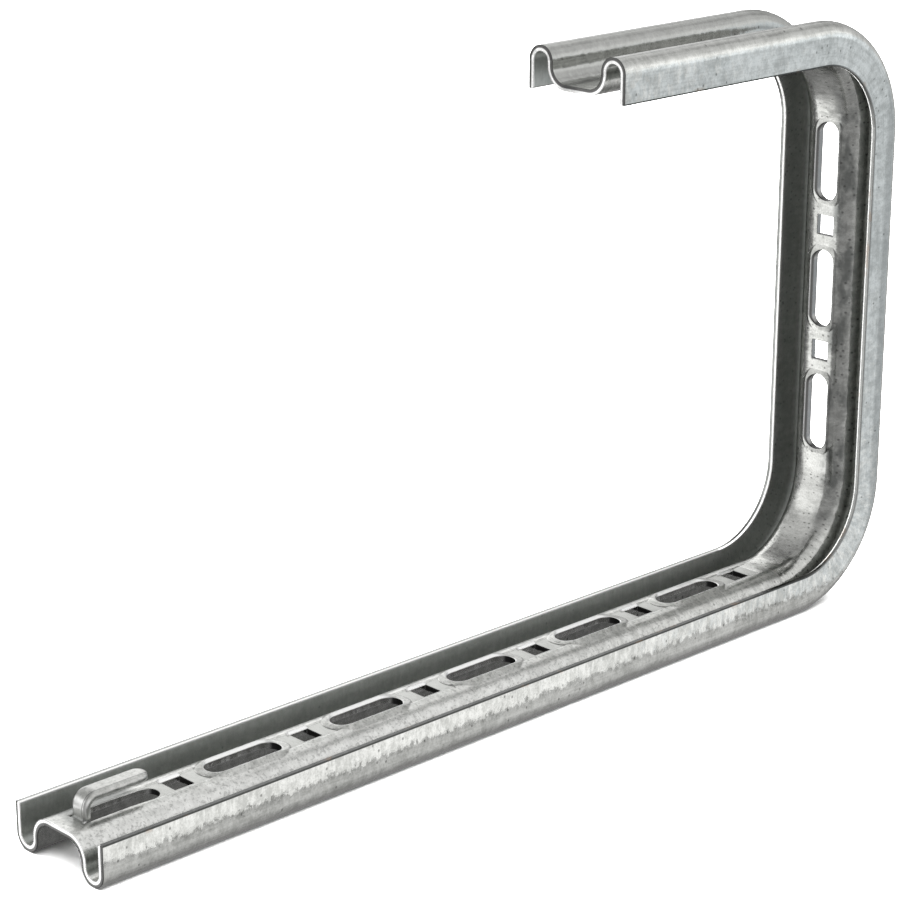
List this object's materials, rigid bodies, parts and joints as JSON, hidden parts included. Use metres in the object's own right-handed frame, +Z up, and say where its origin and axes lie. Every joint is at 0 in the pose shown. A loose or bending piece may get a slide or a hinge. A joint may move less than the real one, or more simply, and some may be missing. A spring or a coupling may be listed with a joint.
{
  "type": "cable tray wall bracket",
  "caption": "C-shaped bracket of rolled galvanised sheet steel with beaded edges, slotted arms and a hook lug, holding a cable tray to a wall or ceiling.",
  "frame": {"origin": "middle of the bracket's box, on the plane that the long arm's two beads stand on", "axes": "+X along the long arm towards the back that goes on the wall, +Y across the profile, +Z up the back"},
  "size_m": [0.345, 0.041, 0.2076],
  "materials": {
    "galvanised_steel": "strip-galvanised bare sheet with fine spangle, satin grey, bright worn edges"
  },
  "bodies": {
    "root": {"c_bracket": "galvanised_steel"}
  },
  "joints": []
}
